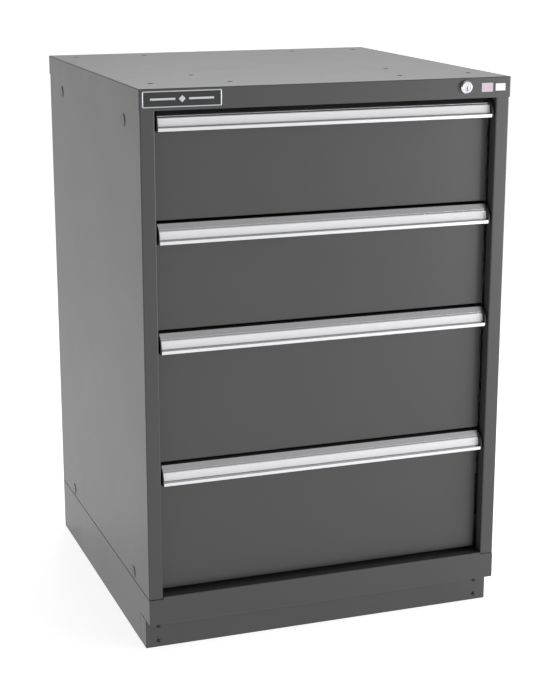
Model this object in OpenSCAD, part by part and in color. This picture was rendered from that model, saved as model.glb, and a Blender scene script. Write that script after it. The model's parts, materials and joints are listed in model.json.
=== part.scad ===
// Four-drawer workshop cabinet on a fork-lift base, with telescoping roller slides and a
// central lock.  Millimetres, +Z up, front towards -Y, origin under the middle of the object.

/* [Cabinet] */
// Overall width, across the top cap
cabinet_w = 717.5; // [620:0.5:900]
// Overall depth, across the top cap
cabinet_d = 724; // [700:0.5:950]
// Overall height
cabinet_h = 1060.5; // [880:0.5:1350]
// Thickness of the housing's sheet steel
sheet = 1.5; // [1:0.1:2.5]
// How far the top cap stands proud of the sides, front and back
cap_proud = 1.4; // [1:0.1:4]
// Height of the top cap's flanges
cap_flange_h = 38.5; // [34:0.5:60]
// Width of the front posts
post_w = 27; // [22:0.5:40]
// Depth of the front posts' inner returns
post_return = 22; // [12:0.5:24]

/* [Base] */
// Height of the base, up to the seam with the sides
base_h = 111; // [90:0.5:160]
// Height of the base's front rail above that seam
rail_rise = 3; // [1:0.5:8]
// Height of the fork openings under the rails
fork_h = 59; // [45:0.5:80]
// Thickness of the base's steel
base_sheet = 2; // [1.5:0.1:4]
// How far the front cover stands behind the posts
cover_recess = 29; // [10:0.5:40]
// Depth of the front cover's side flanges
cover_flange = 38; // [15:0.5:60]
// Half the gap between the two runners
runner_x = 110; // [60:1:180]

/* [Drawers] */
// Share of the front's height that each drawer takes, from the top down
drawer_units = [4, 4, 5, 5];
// How far the drawer fronts stand behind the posts
front_recess = 25; // [24:0.5:30]
// Thickness of a drawer front, over its returns
front_t = 12; // [6:0.5:20]
// Gap between a drawer front and each post
side_gap = 4; // [2:0.5:8]
// Gap between one drawer front and the next
front_gap = 4.5; // [3:0.5:8]
// Gap over the top drawer front
top_gap = 1.5; // [1:0.5:5]
// Space on each side between a drawer's box and the faces of the uprights
slide_space = 23.1; // [22.5:0.1:30]
// Free depth behind a drawer's box
rear_space = 69; // [50:1:120]
// Thickness of a drawer's box
tub_wall = 1.2; // [0.8:0.1:2]

/* [Slides] */
// Radius of the slide rollers
roller_r = 11; // [8:0.5:13]
// Width of the slide rollers
roller_w = 7; // [5:0.5:8]
// Radius of the carriage pins
pin_r = 4; // [3:0.1:5]
// Play between a roller's bore and its pin
pin_play = 0.05; // [0.02:0.01:0.1]
// Play between a roller and the flanges over and under it
track_play = 0.4; // [0.3:0.05:0.8]
// Distance from the channels' rear ends to the back
channel_rear_gap = 28.2; // [20:0.1:60]
// Length that the channels keep in hand beyond the rollers at full travel
slide_overlap = 32; // [10:1:80]

/* [Handles] */
// Height of a handle
handle_h = 35.5; // [30:0.5:45]
// How far a handle's lip stands in front of the drawer front
handle_reach = 23; // [18:0.5:24]
// Thickness of a handle's end caps
end_cap_t = 2.5; // [1:0.1:3.5]

/* [Lock] */
// How far the lock's face stands in front of the top cap
lock_proud = 6.5; // [3:0.5:10]
// Distance of the lock from the cap's right edge
lock_inset = 93; // [84:0.25:120]
// Radius of the lock's barrel
barrel_r = 9.5; // [8:0.1:11]
// Radius of the lock's plug
plug_r = 7; // [5:0.1:7.5]
// Radius that the cam's pin turns on
cam_r = 8; // [6:0.5:10]

/* [Hidden] */
$fn = 48;
drawer_count = len(drawer_units);
each_drawer = [0:drawer_count - 1];
DRAWER_NODES = ["drawer_front", "drawer_tub", "handle", "handle_end_caps", "label_strip",
                "drawer_channels", "carriage", "front_rollers", "middle_rollers", "rear_rollers"];

// Housing
half_w = cabinet_w / 2 - cap_proud;
body_d = cabinet_d - 2 * cap_proud;
front_y = (lock_proud - body_d) / 2;
back_y = front_y + body_d;
cap_sheet = cap_proud - 0.1;
cap_front_y = front_y - cap_proud;
cap_under = cabinet_h - cap_sheet;
opening_top = cabinet_h - cap_flange_h;
rail_top = base_h + rail_rise;
opening_half = half_w - post_w;
wall_in = half_w - sheet;
bend_r = sheet + 1;
rear_flange = 22;
rib_w = 30;
rib_d = 6;
rib_rows = [base_h + 300, base_h + 620];

// Top holes: one of each mirrored pair, its distance from the top's side edge and from the posts' faces
top_hole_r = 5.5;
top_holes = [[45.5, 86], [45.5, body_d - 58], [192, 77], [192, body_d - 61], [160, 215]];

// Plugged holes in the sides: y from the posts' faces and height
plug_hole_r = 9.5;
plug_head_r = 12;
plug_head_t = 1.1;
plug_rows = [opening_top - 27, base_h + 14];
plug_columns = [112, body_d - 110];

// Base
cover_sheet = 1.5;
cover_y = front_y + cover_recess;
cover_gap = 0.3;
cover_foot = 0.5;
tab_t = 2;
tab_w = 50;
tab_leg = 60;
tab_foot = 6;
tab_x = half_w - base_sheet - cover_gap - tab_t;
tab_y = cover_y + cover_sheet + cover_gap;
weld_from = 40;
weld_to = 70;
weld_d = 20;
relief_r = 3;
relief_y = front_y + 43;
rail_step = 0.8;
rail_return = 16;
rail_gap = 0.2;
groove_d = 0.9;
groove_h = 1.4;
rear_cover_y = back_y - 3;
screw_shank_r = 2.4;
screw_clear_r = 2.7;
screw_head_r = 4.2;
screw_head_t = 2.2;
screw_l = 9;
screw_key_r = 1.7;
screw_key_deep = 1.4;
screw_x = half_w - 25;
screw_rows = [12.5, 43];
runner_flange = 30;
runner_front_gap = 12;
runner_rear_gap = 20;
runner_t = 3;

// Drawers
bottom_gap = 1;
units = sum_of(drawer_units, drawer_count);
unit_h = (opening_top - rail_top - top_gap - bottom_gap) / units;
front_half = opening_half - side_gap;
panel_y = front_y + front_recess;
tub_y = panel_y + front_t;
tub_d = body_d - front_recess - front_t - rear_space;
upright_step = 0.425;
upright_x = opening_half + upright_step;
tub_half = upright_x - slide_space;
tub_lift = 5;
tub_drop = 30;
hem_t = 2.4;
hem_h = 10;
slot_w = 3;
slot_pitch = 50;
slot_over = 17;
slot_under = 12;

// Slides
flange_t = 2;
web_t = 1.5;
track_h = 2 * (roller_r + track_play);
channel_h = track_h + 2 * flange_t;
channel_lift = 40;
cab_web_x = upright_x - web_t;
bar_t = 2.5;
bar_h = 18;
bar_x = tub_half + 10.3;
roller_gap = 1;
inner_roller_x = bar_x - roller_gap - roller_w;
outer_roller_x = bar_x + bar_t + roller_gap;
inner_flange_x = bar_x - 0.6;
outer_flange_x = bar_x + bar_t + 0.6;
channel_y = tub_y + 2;
channel_end = back_y - channel_rear_gap;
drawer_travel = channel_end - channel_y - 2 * roller_r - slide_overlap;
front_roller_y = channel_y + roller_r + 6;
middle_roller_y = channel_y + roller_r + slide_overlap / 2 + drawer_travel / 2;
rear_roller_y = channel_end - roller_r - 9;
bar_over = 12;
pin_end = 0.3;
upright_w = 40;
upright_d = wall_in - upright_x;
upright_columns = [for (y = plug_columns) front_y + y - plug_hole_r - 2.5 - upright_w];
upright_top = opening_top - 2;

// Handles: the section is in (forward, up) from the top of the drawer front's face
handle_half = front_half - end_cap_t;
handle_wall = 2.2;
face_top = -12.8;
face_foot = -28.4;
grip_top = 5;
face_out_top = handle_reach - 10.4;
face_out_foot = handle_reach - 7.5;
lip_t = 2.2;
channel_deep = 0.8;
channel_top = face_top - 0.4;
channel_foot = face_foot + 0.6;
strip_t = 0.6;
strip_gap = 0.1;
strip_edge = 0.5;

// Lock
lock_x = cabinet_w / 2 - lock_inset;
lock_z = cabinet_h - 17;
lock_depth = 33;
flange_r = barrel_r + 2.4;
flange_in = 4.5;
barrel_clear = 0.2;
nut_t = 5;
nut_across = 24;
plug_inset = 0.4;
key_w = 1.6;
key_up = 2;
key_down = 6;
key_deep = 20;
cam_t = 2.5;
cam_y = front_y + lock_depth + 1;
cam_pin_r = 2.5;
cam_angle = 225;
cam_pin_x = lock_x + cam_r * cos(cam_angle);
cam_pin_z = lock_z + cam_r * sin(cam_angle);
cam_hub_r = 7;
cam_tip_r = 4;
tang = 6;
tang_play = 0.1;
tang_end = 0.5;
bolt_y = front_y + 40;
bolt_t = 2;
bolt_x = opening_half + 3.6;
bolt_w = 14;
slot_half_h = cam_pin_r + 0.5;
slot_play = 0.8;
slot_rim = 6;
arm_h = 12;
lug_reach = 11;
lug_h = 12;
lug_under = 4;
bolt_foot = 20;
catch_t = 2;
catch_y = bolt_y + bolt_t + 2;
catch_h = 18;
catch_drop = 32;
catch_x = opening_half - 3.4;
guide_h = 16;
guide_play = 0.5;
guide_wall = 2;

// Total of the first n entries of a list
function sum_of(list, n) = n <= 0 ? 0 : list[n - 1] + sum_of(list, n - 1);

// Levels of drawer i, counted from 0 at the top
function front_top(i) = opening_top - top_gap - unit_h * sum_of(drawer_units, i);
function front_foot(i) = front_top(i + 1) + front_gap;
function tub_foot(i) = front_foot(i) + tub_lift;
function tub_top(i) = front_top(i) - tub_drop;
function track_z(i) = tub_foot(i) + channel_lift;
function catch_z(i) = tub_top(i) - catch_drop;

// Box between two corners
module block(low, high) {
    translate(low) cube(high - low);
}

// The children and their mirror image across the cabinet's middle
module both_sides() {
    children();
    mirror([1, 0, 0]) children();
}

// Cylinder along +Y or +X, from a point
module rod_y(at, r, h) {
    translate(at) rotate([-90, 0, 0]) cylinder(r = r, h = h);
}

module rod_x(at, r, h) {
    translate(at) rotate([0, 90, 0]) cylinder(r = r, h = h);
}

// Quarter of a ring, in the quadrant given by two signs
module bend(r, t, sx, sy) {
    intersection() {
        difference() {
            circle(r = r);
            circle(r = r - t);
        }
        translate([sx < 0 ? -r : 0, sy < 0 ? -r : 0]) square(r);
    }
}

// Rectangle with round corners, from its low corner
module round_rect(w, h, r) {
    translate([r, 0]) square([w - 2 * r, h]);
    translate([0, r]) square([w, h - 2 * r]);
    for (x = [r, w - r]) for (y = [r, h - r]) translate([x, y]) circle(r = r);
}

// Extrudes children drawn in (forward, up) along X, with forward towards -Y
module along_x(x0, x1, y, z) {
    translate([x0, y, z]) rotate([90, 0, 90]) mirror([1, 0, 0]) linear_extrude(x1 - x0) children();
}

// ---------------------------------------------------------------- housing

// Plan of the right side: wall, front post with rolled edges, and rear flange
module side_plan() {
    translate([wall_in, front_y + bend_r]) square([sheet, body_d - bend_r]);
    translate([half_w - bend_r, front_y + bend_r]) bend(bend_r, sheet, 1, -1);
    translate([opening_half + bend_r, front_y]) square([post_w - 2 * bend_r, sheet]);
    translate([opening_half + bend_r, front_y + bend_r]) bend(bend_r, sheet, -1, -1);
    translate([opening_half, front_y + bend_r]) square([sheet, post_return - bend_r]);
    translate([half_w - rear_flange, back_y - sheet]) square([rear_flange, sheet]);
}

module side_panel() {
    difference() {
        translate([0, 0, base_h]) linear_extrude(cap_under - base_h) side_plan();
        for (y = plug_columns) for (z = plug_rows)
            rod_x([wall_in - 1, front_y + y, z], plug_hole_r + 0.2, sheet + 2);
    }
}

module left_side_panel() {
    color("#7c7c7e") mirror([1, 0, 0]) side_panel();
}

module right_side_panel() {
    color("#7c7c7e") side_panel();
}

module side_hole_plugs() {
    color("#5a5a5c") both_sides() for (y = plug_columns) for (z = plug_rows) {
        rod_x([half_w, front_y + y, z], plug_head_r, plug_head_t);
        rod_x([half_w - sheet - 4, front_y + y, z], plug_hole_r, sheet + 4.1);
    }
}

module back_panel() {
    y = back_y - 2 * sheet;
    rib_half = wall_in - rib_w;
    color("#6e6e70") {
        block([-wall_in, y, base_h], [wall_in, y + sheet, cap_under]);
        for (z = rib_rows) block([-rib_half, y - rib_d, z], [rib_half, y, z + rib_w]);
    }
}

module top_cap() {
    w = cabinet_w;
    d = cabinet_d;
    color("#8d8d8f") difference() {
        translate([-w / 2, cap_front_y, opening_top]) linear_extrude(cap_flange_h) round_rect(w, d, 2);
        block([-w / 2 + cap_sheet, cap_front_y + cap_sheet, opening_top - 1],
              [w / 2 - cap_sheet, cap_front_y + d - cap_sheet, cap_under]);
        for (h = top_holes) both_sides()
            translate([w / 2 - h[0], front_y + h[1], cap_under - 1])
                cylinder(r = top_hole_r, h = cap_sheet + 2);
        rod_y([lock_x, cap_front_y - 1, lock_z], barrel_r + barrel_clear, cap_sheet + 2);
    }
}

module nameplate() {
    plate_w = 145.3;
    plate_h = 29.3;
    plate_x = -half_w + 3.9;
    plate_z = opening_top + 5.4;
    plate_t = 1.2;
    border = 1.6;
    color("#2b2b2d") difference() {
        block([plate_x, cap_front_y - plate_t, plate_z], [plate_x + plate_w, cap_front_y, plate_z + plate_h]);
        block([plate_x + border, cap_front_y - plate_t - 1, plate_z + border],
              [plate_x + plate_w - border, cap_front_y - plate_t + 0.5, plate_z + plate_h - border]);
    }
}

module blank_labels() {
    label_t = 0.3;
    label_w = 23.2;
    label_h = 16.5;
    z = lock_z - 2 - label_h / 2;
    color("#e6e2e4") for (x = [lock_x + 33, lock_x + 60])
        block([x, cap_front_y - label_t, z], [x + label_w, cap_front_y, z + label_h]);
}

// ---------------------------------------------------------------- base

// Bracket behind one end of a cover: sy is +1 at the front and -1 at the back
module cover_tab(y, sy) {
    x1 = tab_x + tab_t;
    top = base_h - base_sheet;
    difference() {
        union() {
            block([half_w - tab_w, min(y, y + sy * tab_t), tab_foot], [x1, max(y, y + sy * tab_t), top]);
            block([tab_x, min(y, y + sy * tab_leg), tab_foot], [x1, max(y, y + sy * tab_leg), top]);
        }
        for (z = screw_rows) rod_y([screw_x, y - 5, z], screw_shank_r + 0.05, 10);
    }
}

// Side plate of the base, notched for the front cover's flange, with the brackets welded to it
module base_side() {
    notch_y = cover_y + cover_flange + cover_gap;
    x = half_w - base_sheet;
    difference() {
        block([x, front_y, 0], [half_w, back_y, base_h]);
        block([x - 1, front_y - 1, -1], [half_w + 1, notch_y, fork_h]);
        block([half_w - groove_d, front_y - 1, base_h - groove_h], [half_w + 1, back_y + 1, base_h + 1]);
        rod_x([x - 1, relief_y, fork_h], relief_r, base_sheet + 2);
    }
    cover_tab(tab_y, 1);
    cover_tab(rear_cover_y - cover_sheet - cover_gap, -1);
    for (y = [cover_y + tab_leg, rear_cover_y - tab_leg + weld_d / 2])
        block([tab_x, y, weld_from], [x, y + weld_d, weld_to]);
}

module base_frame() {
    rail_y = front_y - rail_step;
    rail_half = opening_half - rail_gap;
    in_half = half_w - base_sheet;
    seam = base_h - base_sheet;
    plate_half = half_w - groove_d;
    color("#6a6a6c") {
        both_sides() base_side();
        block([-plate_half, front_y + groove_d, seam], [plate_half, back_y, base_h]);
        block([-half_w, rail_y, fork_h], [half_w, rail_y + base_sheet, base_h - groove_h]);
        block([-in_half, front_y, fork_h], [in_half, cover_y + 1, fork_h + base_sheet]);
        block([-rail_half, rail_y, seam], [rail_half, rail_y + base_sheet, rail_top]);
        block([-rail_half, front_y, rail_top - base_sheet], [rail_half, front_y + rail_return, rail_top]);
        block([-half_w, back_y - base_sheet, fork_h], [half_w, back_y, base_h]);
    }
}

module base_runners() {
    y0 = tab_y + runner_front_gap;
    y1 = back_y - runner_rear_gap;
    z1 = base_h - base_sheet;
    color("#5e5e60") both_sides() {
        block([runner_x, y0, 0], [runner_x + runner_t, y1, z1]);
        block([runner_x, y0, 0], [runner_x + runner_flange, y1, runner_t]);
        block([runner_x, y0, z1 - runner_t], [runner_x + runner_flange, y1, z1]);
    }
}

module base_front_cover() {
    z0 = cover_foot;
    z1 = fork_h - cover_gap;
    color("#5f5f61") difference() {
        union() {
            block([-half_w, cover_y, z0], [half_w, cover_y + cover_sheet, z1]);
            both_sides() block([half_w - cover_sheet, cover_y, z0], [half_w, cover_y + cover_flange, z1]);
        }
        for (s = [-1, 1]) for (z = screw_rows)
            rod_y([s * screw_x, cover_y - 2, z], screw_clear_r, cover_sheet + 4);
    }
}

module base_rear_cover() {
    x1 = half_w - base_sheet - cover_gap;
    color("#5f5f61") difference() {
        block([-x1, rear_cover_y - cover_sheet, cover_foot], [x1, rear_cover_y, fork_h - cover_gap]);
        for (s = [-1, 1]) for (z = screw_rows)
            rod_y([s * screw_x, rear_cover_y - 5, z], screw_clear_r, 10);
    }
}

// Pan-head screw with a hexagon socket, its head's underside at the point, pointing along sy
module cover_screw(x, y, z, sy) {
    translate([x, y, z]) rotate([-sy * 90, 0, 0]) difference() {
        union() {
            cylinder(r = screw_shank_r, h = screw_l);
            translate([0, 0, -screw_head_t]) cylinder(r = screw_head_r, h = screw_head_t);
        }
        translate([0, 0, -screw_head_t - 1]) cylinder(r = screw_key_r, h = screw_key_deep + 1, $fn = 6);
    }
}

module base_cover_screws() {
    color("#2c2c2e") for (s = [-1, 1]) for (z = screw_rows) {
        cover_screw(s * screw_x, cover_y, z, 1);
        cover_screw(s * screw_x, rear_cover_y, z, -1);
    }
}

// ---------------------------------------------------------------- slides, fixed parts

module slide_uprights() {
    color("#77777a") both_sides() for (y = upright_columns) {
        block([upright_x, y, base_h], [upright_x + sheet, y + upright_w, upright_top]);
        for (yy = [y, y + upright_w - sheet])
            block([upright_x, yy, base_h], [upright_x + upright_d, yy + sheet, upright_top]);
    }
}

// Channel along Y whose web lies between x0 and x1 and whose flanges reach to flange_x
module channel(x0, x1, flange_x, y0, y1, z_mid) {
    block([x0, y0, z_mid - channel_h / 2], [x1, y1, z_mid + channel_h / 2]);
    for (s = [-1, 1]) {
        z_in = z_mid + s * track_h / 2;
        z_out = z_mid + s * channel_h / 2;
        block([min(x0, flange_x), y0, min(z_in, z_out)], [max(x1, flange_x), y1, max(z_in, z_out)]);
    }
}

module cabinet_channels() {
    color("#b9bbbe") both_sides() for (i = each_drawer)
        channel(cab_web_x, upright_x, outer_flange_x, channel_y, channel_end, track_z(i));
}

// ---------------------------------------------------------------- lock

module lock_housing() {
    bevel = lock_proud - flange_in;
    color("#e4e4e6") translate([lock_x, cap_front_y, lock_z]) rotate([-90, 0, 0]) difference() {
        union() {
            translate([0, 0, -flange_in]) cylinder(r = flange_r, h = flange_in);
            translate([0, 0, -lock_proud]) cylinder(r1 = flange_r - bevel, r2 = flange_r, h = bevel);
            cylinder(r = barrel_r, h = lock_depth + cap_proud);
        }
        translate([0, 0, -lock_proud - 1])
            cylinder(r = plug_r + pin_play, h = lock_proud + lock_depth + cap_proud + 2);
    }
}

module lock_nut() {
    color("#b9bbbe") translate([lock_x, cap_front_y + cap_sheet, lock_z]) rotate([-90, 0, 0]) difference() {
        cylinder(r = nut_across / sqrt(3), h = nut_t, $fn = 6);
        translate([0, 0, -1]) cylinder(r = barrel_r + 0.05, h = nut_t + 2);
    }
}

// Cylinder with a key slot, and a square tang for the cam behind the barrel
module lock_plug() {
    face_y = cap_front_y - lock_proud + plug_inset;
    color("#d8d8da") difference() {
        union() {
            rod_y([lock_x, face_y, lock_z], plug_r, lock_proud + cap_proud + lock_depth);
            block([lock_x - tang / 2, front_y + lock_depth, lock_z - tang / 2],
                  [lock_x + tang / 2, cam_y + cam_t + tang_end, lock_z + tang / 2]);
        }
        block([lock_x - key_w / 2, face_y - 1, lock_z - key_down],
              [lock_x + key_w / 2, face_y + key_deep, lock_z + key_up]);
    }
}

// Plate on the plug's tang, with a pin that lifts the lock bar
module lock_cam() {
    hole = tang / 2 + tang_play;
    back = cam_y + cam_t;
    color("#b9bbbe") {
        difference() {
            hull() {
                rod_y([lock_x, cam_y, lock_z], cam_hub_r, cam_t);
                rod_y([cam_pin_x, cam_y, cam_pin_z], cam_tip_r, cam_t);
            }
            block([lock_x - hole, cam_y - 1, lock_z - hole], [lock_x + hole, back + 1, lock_z + hole]);
        }
        rod_y([cam_pin_x, back, cam_pin_z], cam_pin_r, bolt_y + bolt_t + 1 - back);
    }
}

// Flat bar behind the right post, with an arm to the cam and a lug for each drawer
module lock_bar() {
    slot_x0 = lock_x - cam_r - cam_pin_r - slot_play;
    slot_x1 = cam_pin_x + cam_pin_r + slot_play;
    arm_z0 = cam_pin_z - arm_h / 2;
    foot = catch_z(drawer_count - 1) - lug_under - lug_h - bolt_foot;
    back = bolt_y + bolt_t;
    color("#a9abae") difference() {
        union() {
            block([bolt_x, bolt_y, foot], [bolt_x + bolt_w, back, arm_z0 + arm_h]);
            block([slot_x0 - slot_rim, bolt_y, arm_z0], [bolt_x + bolt_w, back, arm_z0 + arm_h]);
            for (i = each_drawer) {
                top = catch_z(i) - lug_under;
                block([bolt_x - lug_reach, bolt_y, top - lug_h], [bolt_x + 1, back, top]);
            }
        }
        block([slot_x0, bolt_y - 1, cam_pin_z - slot_half_h], [slot_x1, back + 1, cam_pin_z + slot_half_h]);
    }
}

// Blocks on the right side that the lock bar slides in
module lock_bar_guides() {
    y0 = bolt_y - guide_play;
    y1 = bolt_y + bolt_t + guide_play;
    x1 = bolt_x + bolt_w + guide_play;
    color("#77777a") for (z = [for (i = each_drawer) track_z(i)]) difference() {
        block([bolt_x - 1, y0 - guide_wall, z], [wall_in, y1 + guide_wall, z + guide_h]);
        block([bolt_x - 2, y0, z - 1], [x1, y1, z + guide_h + 1]);
    }
}

// ---------------------------------------------------------------- drawers

// Pressed front with returns on all four edges
module drawer_front(i) {
    z0 = front_foot(i);
    z1 = front_top(i);
    color("#5c5c5e") difference() {
        block([-front_half, panel_y, z0], [front_half, panel_y + front_t, z1]);
        block([-front_half + sheet, panel_y + sheet, z0 + sheet],
              [front_half - sheet, panel_y + front_t + 1, z1 - sheet]);
    }
}

// Open box with a hem round its rim, slots for dividers in its sides and a catch for the lock
module drawer_tub(i) {
    z0 = tub_foot(i);
    z1 = tub_top(i);
    in_half = tub_half - tub_wall;
    hem_half = tub_half - hem_t;
    back = tub_y + tub_d;
    slot_z0 = track_z(i) + channel_h / 2 + slot_over;
    color("#767678") {
        difference() {
            block([-tub_half, tub_y, z0], [tub_half, back, z1]);
            block([-in_half, tub_y + tub_wall, z0 + tub_wall], [in_half, back - tub_wall, z1 - hem_h]);
            block([-hem_half, tub_y + hem_t, z0 + tub_wall], [hem_half, back - hem_t, z1 + 1]);
            for (y = [tub_y + slot_pitch:slot_pitch:back - slot_pitch])
                block([-tub_half - 1, y, slot_z0], [tub_half + 1, y + slot_w, z1 - hem_h - slot_under]);
        }
        block([tub_half - 0.01, catch_y, catch_z(i)], [catch_x, catch_y + catch_t, catch_z(i) + catch_h]);
    }
}

// Depth of the label channel's floor at a height
function channel_floor(z) = face_out_top - channel_deep
    + (face_out_foot - face_out_top) * (z - channel_top) / (channel_foot - channel_top);

// Outline of a handle's section
function handle_outline() = [
    [0, 0], [grip_top, 0],
    [grip_top + 5.7, -9.6], [grip_top + 4.9, -10], [grip_top + 5.5, -10.9], [grip_top + 6.5, -10.9],
    [face_out_top, face_top], [channel_floor(channel_top), channel_top],
    [channel_floor(channel_foot), channel_foot], [face_out_foot, face_foot],
    [handle_reach - 1, face_foot], [handle_reach, face_foot - 1],
    [handle_reach, -handle_h], [handle_reach - lip_t, -handle_h],
    [handle_reach - lip_t, face_foot - handle_wall], [face_out_foot - 2.6, face_foot - handle_wall],
    [face_out_top - 3.2, face_top - 0.4], [grip_top - 1.4, -handle_wall], [handle_wall, -handle_wall],
    [handle_wall, -26], [0, -26]];

module handle(i) {
    color("#dcdcde") along_x(-handle_half, handle_half, panel_y, front_top(i)) polygon(handle_outline());
}

// Rounded plates that close a handle's ends
module handle_end_caps(i) {
    swell = 30;
    module outline() {
        intersection() {
            translate([0, -handle_h]) square([handle_reach, handle_h]);
            translate([handle_reach - swell + 0.5, -28]) circle(r = swell, $fn = 96);
        }
    }
    color("#1d1d1f") {
        along_x(handle_half, front_half, panel_y, front_top(i)) outline();
        along_x(-front_half, -handle_half, panel_y, front_top(i)) outline();
    }
}

// Card in the handle's label channel
module label_strip(i) {
    top = channel_top - strip_edge;
    foot = channel_foot + strip_edge;
    back_top = channel_floor(top) + strip_gap;
    back_foot = channel_floor(foot) + strip_gap;
    color("#f2f2f2") along_x(-handle_half + 1, handle_half - 1, panel_y, front_top(i))
        polygon([[back_top, top], [back_top + strip_t, top], [back_foot + strip_t, foot], [back_foot, foot]]);
}

module drawer_channels(i) {
    color("#b9bbbe") both_sides()
        channel(tub_half, tub_half + web_t, inner_flange_x, channel_y, channel_end, track_z(i));
}

// Bar with the roller pins, which runs between the two channels
module carriage(i) {
    z = track_z(i);
    y0 = front_roller_y - bar_over;
    y1 = rear_roller_y + bar_over;
    inner_pin_x = inner_roller_x - pin_end;
    outer_pin_x = outer_roller_x + roller_w + pin_end;
    color("#c8cacd") both_sides() {
        block([bar_x, y0, z - bar_h / 2], [bar_x + bar_t, y1, z + bar_h / 2]);
        for (y = [front_roller_y, middle_roller_y])
            rod_x([inner_pin_x, y, z], pin_r, bar_x - inner_pin_x + 0.5);
        for (y = [middle_roller_y, rear_roller_y])
            rod_x([bar_x + 0.5, y, z], pin_r, outer_pin_x - bar_x - 0.5);
    }
}

// Ring with a running bore, its near face at x0
module roller(x0, y, z) {
    edge = 0.8;
    translate([x0, y, z]) rotate([0, 90, 0]) difference() {
        rotate_extrude() polygon([[0, 0], [roller_r - edge, 0], [roller_r, edge],
                                  [roller_r, roller_w - edge], [roller_r - edge, roller_w], [0, roller_w]]);
        translate([0, 0, -1]) cylinder(r = pin_r + pin_play, h = roller_w + 2);
    }
}

module front_rollers(i) {
    color("#3a3a3c") both_sides() roller(inner_roller_x, front_roller_y, track_z(i));
}

module middle_rollers(i) {
    color("#3a3a3c") both_sides() {
        roller(inner_roller_x, middle_roller_y, track_z(i));
        roller(outer_roller_x, middle_roller_y, track_z(i));
    }
}

module rear_rollers(i) {
    color("#3a3a3c") both_sides() roller(outer_roller_x, rear_roller_y, track_z(i));
}

left_side_panel();
right_side_panel();
back_panel();
top_cap();
side_hole_plugs();
base_frame();
base_runners();
base_front_cover();
base_rear_cover();
base_cover_screws();
slide_uprights();
cabinet_channels();
nameplate();
blank_labels();
lock_housing();
lock_nut();
lock_plug();
lock_cam();
lock_bar();
lock_bar_guides();
for (i = each_drawer) {
    drawer_front(i);
    drawer_tub(i);
    handle(i);
    handle_end_caps(i);
    label_strip(i);
    drawer_channels(i);
    carriage(i);
    front_rollers(i);
    middle_rollers(i);
    rear_rollers(i);
}
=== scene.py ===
"""Looks of a four-drawer workshop cabinet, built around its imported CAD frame.

Each sub-assembly is a class that holds its sizes in millimetres, builds its pieces and dresses them.
Each finish is a frozen dataclass that builds one node material.  Pieces take their places from the
boxes of the CAD nodes, and lie in the CAD's own frame in metres.
"""

import json
import logging
import math
from collections.abc import Iterable, Sequence
from dataclasses import dataclass, field
from enum import Enum
from typing import Any

import bmesh
import bpy
from bpy.types import Material, Mesh, Node, NodeSocket, NodeTree, Object
from mathutils import Matrix, Vector
from mathutils.bvhtree import BVHTree

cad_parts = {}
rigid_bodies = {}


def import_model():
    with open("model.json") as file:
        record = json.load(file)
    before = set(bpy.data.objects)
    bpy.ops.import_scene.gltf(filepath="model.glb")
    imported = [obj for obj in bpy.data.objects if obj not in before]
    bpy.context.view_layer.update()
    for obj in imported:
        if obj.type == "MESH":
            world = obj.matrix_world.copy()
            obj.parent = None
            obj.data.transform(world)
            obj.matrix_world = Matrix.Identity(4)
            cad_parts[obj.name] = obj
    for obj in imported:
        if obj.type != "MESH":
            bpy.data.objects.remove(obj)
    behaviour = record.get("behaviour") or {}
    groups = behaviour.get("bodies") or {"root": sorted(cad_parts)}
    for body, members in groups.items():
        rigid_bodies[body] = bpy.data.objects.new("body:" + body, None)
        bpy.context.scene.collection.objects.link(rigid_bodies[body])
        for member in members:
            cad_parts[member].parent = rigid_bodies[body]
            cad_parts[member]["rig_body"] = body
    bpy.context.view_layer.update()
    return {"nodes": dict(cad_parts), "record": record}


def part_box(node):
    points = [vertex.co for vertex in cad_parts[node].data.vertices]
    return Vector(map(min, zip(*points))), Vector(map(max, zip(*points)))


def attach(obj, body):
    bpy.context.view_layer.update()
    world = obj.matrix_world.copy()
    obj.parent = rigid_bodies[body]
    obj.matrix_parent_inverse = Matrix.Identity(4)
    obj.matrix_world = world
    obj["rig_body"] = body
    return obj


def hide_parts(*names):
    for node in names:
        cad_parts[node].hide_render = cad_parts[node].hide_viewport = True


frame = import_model()

LOG = logging.getLogger("cabinet")
MM = 0.001
FACING = "facing"
# The colour sockets of a Mix node: two inputs and the result
MIX_A, MIX_B, MIX_OUT = 6, 7, 2
# Points of a CAD mesh that are closer than this are one point
WELD_MM = 0.002
# Faces that turn by less than this are one flat face
FLAT_DEG = 0.5
# How far under a convex edge a solid's depth is measured from
PROBE_MM = 0.02
# Two faces that turn by more than this meet in a sharp edge
SHARP_DEG = 35
TURNED_SHARP_DEG = 40
# A bevel takes at most this share of the solid's depth under its edge
BEVEL_SHARE = 0.34
SLOTS = {part["node"]: part["material_slot"] for part in frame["record"]["subparts"]}


# ------------------------------------------------------------------ finishes


def linear(code: str) -> tuple[float, float, float, float]:
    """Turns an sRGB hex code into a linear colour with full alpha.

    Args:
        code: The colour as "#rrggbb".

    Returns:
        Linear red, green, blue and alpha.
    """
    channels = [int(code[i : i + 2], 16) / 255 for i in (1, 3, 5)]
    red, green, blue = [c / 12.92 if c <= 0.04045 else ((c + 0.055) / 1.055) ** 2.4 for c in channels]
    return red, green, blue, 1.0


def add_node(tree: NodeTree, kind: str, inputs: dict | None = None, **settings: Any) -> Node:
    """Adds one node with its settings, values and links.

    Args:
        tree: The tree that the node goes into.
        kind: The node's type name.
        inputs: Socket name or number to a value, or to another node's output, which is linked.
        **settings: The node's own properties.

    Returns:
        The new node.
    """
    node = tree.nodes.new(kind)
    for name, value in settings.items():
        setattr(node, name, value)
    for key, value in (inputs or {}).items():
        if isinstance(value, NodeSocket):
            tree.links.new(value, node.inputs[key])
        else:
            node.inputs[key].default_value = value
    return node


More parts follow.
